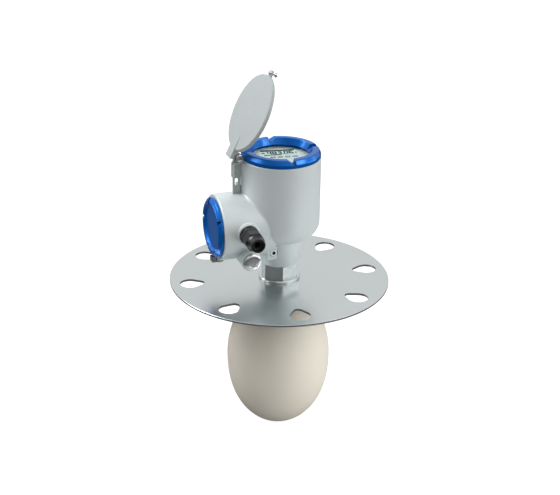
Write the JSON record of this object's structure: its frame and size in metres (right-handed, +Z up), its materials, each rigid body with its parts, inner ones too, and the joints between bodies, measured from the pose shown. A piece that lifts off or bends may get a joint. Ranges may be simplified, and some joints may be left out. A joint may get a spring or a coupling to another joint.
{
  "type": "radar level transmitter",
  "caption": "Radar level transmitter: polymer drop antenna under a slotted flange plate, swivelling two-compartment housing with display, screw covers, cable gland and hinged sun cover.",
  "frame": {"origin": "centre of the flange plate's underside, the sealing face", "axes": "+Z up, out of the tank, along the antenna's axis; -X towards the terminal compartment; -Y towards the cable entries"},
  "size_m": [0.302, 0.302, 0.5189],
  "materials": {
    "plate_steel": "thin rolled stainless sheet with a soft mirror",
    "adapter_steel": "turned and milled stainless, fairly bright",
    "antenna_polymer": "smooth ivory polymer",
    "white_polymer": "white low-loss polymer",
    "black_rubber": "black rubber",
    "housing_paint": "die-cast, silver-grey semi-gloss paint",
    "blue_paint": "die-cast, glossy blue paint",
    "sun_cover_paint": "light grey paint",
    "bracket_paint": "grey sheet metal",
    "screw_steel": "bright steel",
    "hinge_steel": "dull steel",
    "stop_steel": "dark steel",
    "plug_metal": "bright nickel-plated",
    "gland_plastic": "black polyamide",
    "dark_plastic": "potted electronics can",
    "display_face": "light display fascia",
    "lcd": "pale green liquid crystal panel",
    "key_rubber": "grey keys",
    "terminal_plastic": "green terminal block",
    "window_glass": "clear window"
  },
  "bodies": {
    "process_unit": {"flange_plate": "plate_steel", "process_adapter": "adapter_steel", "antenna_gasket": "black_rubber", "drop_antenna": "antenna_polymer", "channel_plug": "white_polymer", "neck_seal": "black_rubber"},
    "housing": {"housing": "housing_paint", "neck_lock_screw": "screw_steel", "electronics_unit": "dark_plastic", "display_bezel": "display_face", "lcd_panel": "lcd", "bezel_screws": "screw_steel", "terminal_block": "terminal_plastic", "terminal_screws": "screw_steel", "cover_stop": "stop_steel", "cover_stop_screw": "screw_steel", "gland_body": "gland_plastic", "gland_washer": "black_rubber", "gland_seal": "black_rubber", "blanking_plug": "plug_metal", "plug_washer": "black_rubber", "hinge_bracket": "bracket_paint", "bracket_screws": "screw_steel", "hinge_bolt": "hinge_steel", "hinge_nut": "hinge_steel"},
    "display_cover": {"display_cover": "blue_paint", "window_glass": "window_glass", "glass_retainer": "screw_steel", "display_cover_seal": "black_rubber"},
    "terminal_cover": {"terminal_cover": "blue_paint", "terminal_cover_seal": "black_rubber"},
    "gland_nut": {"gland_nut": "gland_plastic"},
    "sun_cover": {"sun_cover": "sun_cover_paint"},
    "latch_screw": {"latch_screw": "screw_steel", "latch_knob": "screw_steel"},
    "key_1": {"key_1": "key_rubber"},
    "key_2": {"key_2": "key_rubber"},
    "key_3": {"key_3": "key_rubber"},
    "key_4": {"key_4": "key_rubber"}
  },
  "joints": [
    {"name": "housing_swivel", "type": "hinge", "parent": "process_unit", "child": "housing", "pos_m": [0, 0, 0.045], "axis": [0, 0, 1], "range_deg": [-175, 175]},
    {"name": "display_cover_turn", "type": "hinge", "parent": "housing", "child": "display_cover", "pos_m": [0, 0, 0.18], "axis": [0, 0, 1], "continuous": true},
    {"name": "terminal_cover_turn", "type": "hinge", "parent": "housing", "child": "terminal_cover", "pos_m": [-0.092, 0, 0.088], "axis": [-1, 0, 0], "continuous": true},
    {"name": "gland_nut_turn", "type": "hinge", "parent": "housing", "child": "gland_nut", "pos_m": [-0.06, -0.07, 0.0915], "axis": [0, -1, 0], "continuous": true},
    {"name": "sun_cover_hinge", "type": "hinge", "parent": "housing", "child": "sun_cover", "pos_m": [-0.0609, 0, 0.1844], "axis": [0, 1, 0], "range_deg": [-30, 63.2]},
    {"name": "latch_screw_turn", "type": "hinge", "parent": "sun_cover", "child": "latch_screw", "pos_m": [-0.0147, 0, 0.29382], "axis": [-0.8926, 0, 0.4509], "continuous": true},
    {"name": "key_1_press", "type": "slide", "parent": "housing", "child": "key_1", "axis": [0, 0, -1], "range_m": [0, 0.0006], "stiffness_N_per_m": 600},
    {"name": "key_2_press", "type": "slide", "parent": "housing", "child": "key_2", "axis": [0, 0, -1], "range_m": [0, 0.0006], "stiffness_N_per_m": 600},
    {"name": "key_3_press", "type": "slide", "parent": "housing", "child": "key_3", "axis": [0, 0, -1], "range_m": [0, 0.0006], "stiffness_N_per_m": 600},
    {"name": "key_4_press", "type": "slide", "parent": "housing", "child": "key_4", "axis": [0, 0, -1], "range_m": [0, 0.0006], "stiffness_N_per_m": 600}
  ]
}
